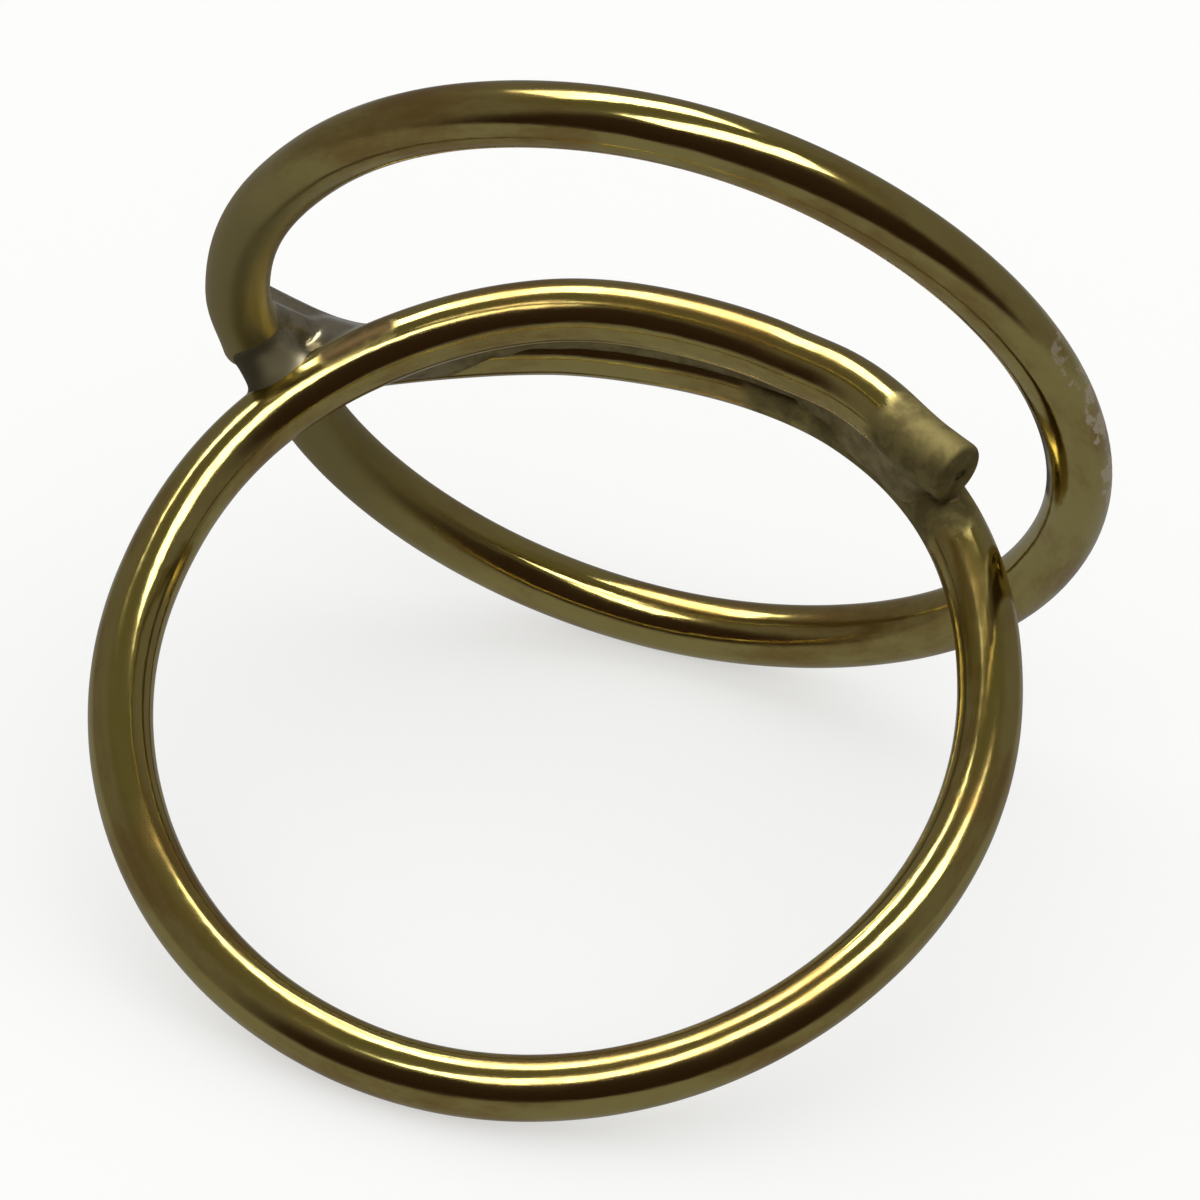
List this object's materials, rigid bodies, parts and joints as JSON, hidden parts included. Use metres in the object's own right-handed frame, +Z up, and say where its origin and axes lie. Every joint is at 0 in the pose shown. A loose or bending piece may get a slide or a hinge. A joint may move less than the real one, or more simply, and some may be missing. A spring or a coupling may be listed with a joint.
{
  "type": "double band finger ring",
  "caption": "Finger ring of two round brass wire bands, one coiled with a lapped cut end and one plain, soldered together at one point and standing at a steep angle to each other.",
  "frame": {"origin": "on the surface the ring stands on, under the middle of the whole ring", "axes": "+Z up as the ring rests by itself; +Y from the low front band towards the upright back band; +X from the soldered joint towards the lapped cut end"},
  "size_m": [0.0224, 0.021, 0.0194],
  "materials": {
    "aged_brass": "polished brass wire, dulled and darkened by age, with grey solder at the joint"
  },
  "bodies": {
    "root": {"double_band": "aged_brass"}
  },
  "joints": []
}
